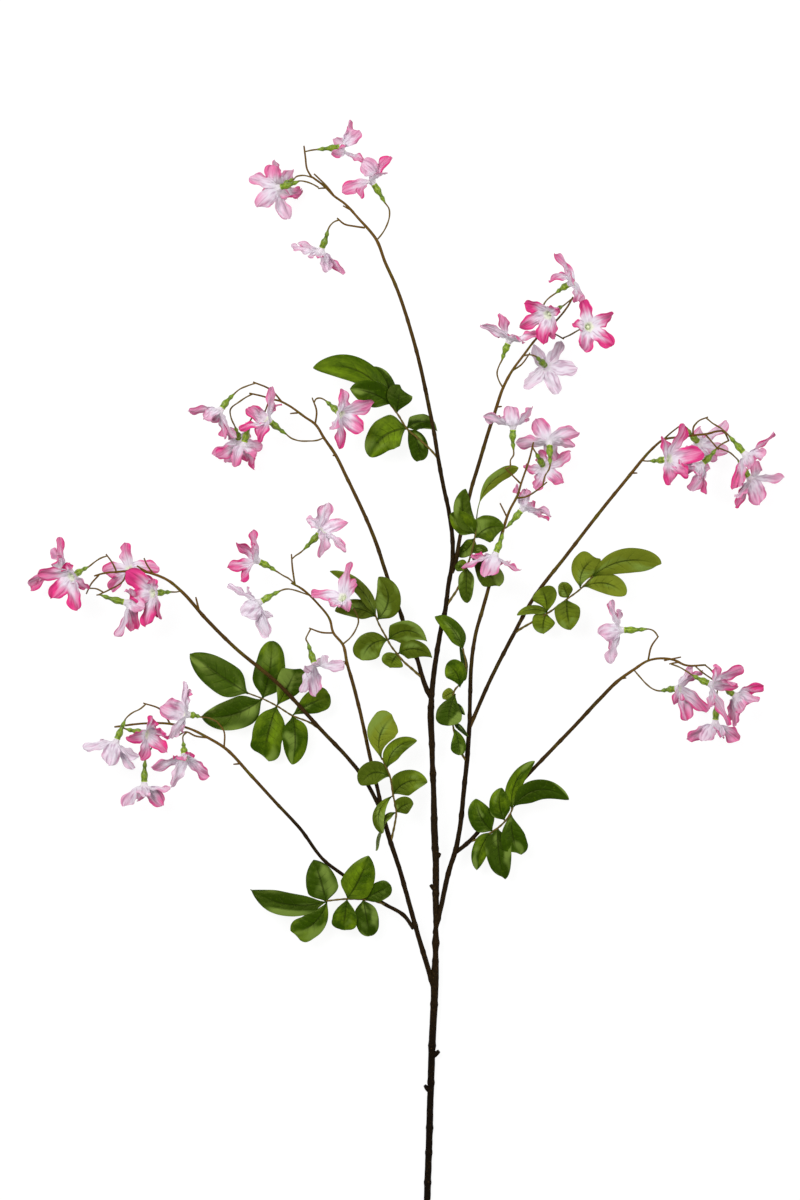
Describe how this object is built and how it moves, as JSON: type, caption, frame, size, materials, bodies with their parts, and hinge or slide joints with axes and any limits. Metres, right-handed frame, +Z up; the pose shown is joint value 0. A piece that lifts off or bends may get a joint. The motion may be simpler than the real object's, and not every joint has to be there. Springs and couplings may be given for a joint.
{
  "type": "madagascar jasmine stem",
  "caption": "Artificial madagascar jasmine stem lying flat: a dark forked stem with green leafy sprays and drooping heads of pink blooms, to stand in a vase or a floral display.",
  "frame": {"origin": "centre of the outline of the lying stem, on the surface that it lies on", "axes": "+Y from the cut end to the top head of blooms, +X to the right as seen from above, +Z up from the surface"},
  "size_m": [0.757, 1.119, 0.0796],
  "materials": {
    "stem": "rough dark brown bark cast in plastic over wire, olive to bright green at the calyxes",
    "calyx": "glossy yellow-green plastic, moulded on the ends of the stem pieces",
    "leaf": "coated green fabric with a satin sheen and pressed veins",
    "petal": "soft woven petals, white-lilac at the throat and hot pink at the edges",
    "petal_pale": "soft woven petals, mostly pale lilac with pink edges"
  },
  "bodies": {
    "root": {"main_stem": "stem", "upper_right_branch": "stem", "upper_left_branch": "stem", "left_branch": "stem", "lower_left_branch": "stem", "right_branch": "stem", "leaf_spray_top": "leaf", "leaf_spray_upper_right": "leaf", "leaf_spray_right": "leaf", "leaf_spray_upper_left": "leaf", "leaf_spray_middle": "leaf", "leaf_spray_left": "leaf", "leaf_spray_middle_left": "leaf", "leaf_spray_lower_right": "leaf", "leaf_spray_lower_left": "leaf", "bloom_top_1": "petal", "bloom_top_2": "petal", "bloom_top_3": "petal", "bloom_top_4": "petal", "bloom_top_5": "petal", "bloom_upper_right_1": "petal", "bloom_upper_right_2": "petal", "bloom_upper_right_3": "petal", "bloom_upper_right_4": "petal", "bloom_upper_right_5": "petal", "bloom_upper_left_1": "petal", "bloom_upper_left_2": "petal", "bloom_upper_left_3": "petal", "bloom_upper_left_4": "petal", "bloom_upper_left_5": "petal", "bloom_left_1": "petal", "bloom_left_2": "petal", "bloom_left_3": "petal", "bloom_left_4": "petal", "bloom_left_5": "petal", "bloom_middle_left_1": "petal_pale", "bloom_middle_left_2": "petal_pale", "bloom_middle_left_3": "petal_pale", "bloom_middle_left_4": "petal_pale", "bloom_middle_left_5": "petal_pale", "bloom_lower_left_1": "petal", "bloom_lower_left_2": "petal", "bloom_lower_left_3": "petal", "bloom_lower_left_4": "petal", "bloom_lower_left_5": "petal", "bloom_middle_1": "petal", "bloom_middle_2": "petal", "bloom_middle_3": "petal", "bloom_middle_4": "petal", "bloom_middle_5": "petal", "bloom_right_1": "petal", "bloom_right_2": "petal", "bloom_right_3": "petal", "bloom_right_4": "petal", "bloom_right_5": "petal", "bloom_lower_right_1": "petal", "bloom_lower_right_2": "petal", "bloom_lower_right_3": "petal", "bloom_lower_right_4": "petal", "bloom_lower_right_5": "petal"}
  },
  "joints": []
}
